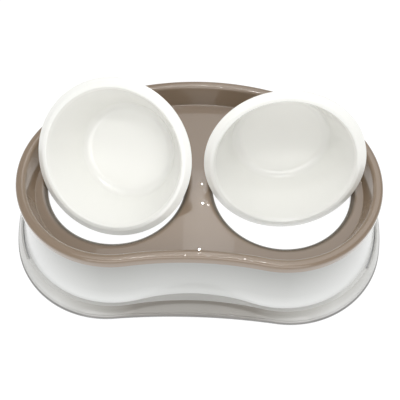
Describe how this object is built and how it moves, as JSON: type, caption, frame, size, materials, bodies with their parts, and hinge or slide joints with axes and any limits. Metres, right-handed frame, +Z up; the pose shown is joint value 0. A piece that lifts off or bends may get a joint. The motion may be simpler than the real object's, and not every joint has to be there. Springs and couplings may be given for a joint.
{
  "type": "double pet bowl",
  "caption": "Bean-shaped raised pet feeder: a sunken deck with bowl holes on a flared skirt, and round lift-out bowls with turned-down rims.",
  "frame": {"origin": "middle of the stand's footprint, on the floor under the pads", "axes": "+X along the stand to the viewer's right, +Y from the hollow front to the bowed back, +Z up"},
  "size_m": [0.394, 0.266, 0.1688],
  "materials": {
    "deck_plastic": "glossy taupe injection moulding",
    "skirt_plastic": "glossy white injection moulding",
    "bowl_plastic": "glossy ivory white moulding",
    "pad_rubber": "soft matt rubber"
  },
  "bodies": {
    "stand": {"deck": "deck_plastic", "skirt": "skirt_plastic", "pad_front_left": "pad_rubber", "pad_back_left": "pad_rubber", "pad_front_right": "pad_rubber", "pad_back_right": "pad_rubber"},
    "left_bowl": {"left_bowl": "bowl_plastic"},
    "right_bowl": {"right_bowl": "bowl_plastic"}
  },
  "joints": [
    {"name": "left_bowl_lift", "type": "slide", "parent": "stand", "child": "left_bowl", "axis": [0, 0, 1], "range_m": [0, 0.12]},
    {"name": "right_bowl_lift", "type": "slide", "parent": "stand", "child": "right_bowl", "axis": [0, 0, 1], "range_m": [0, 0.12]}
  ]
}
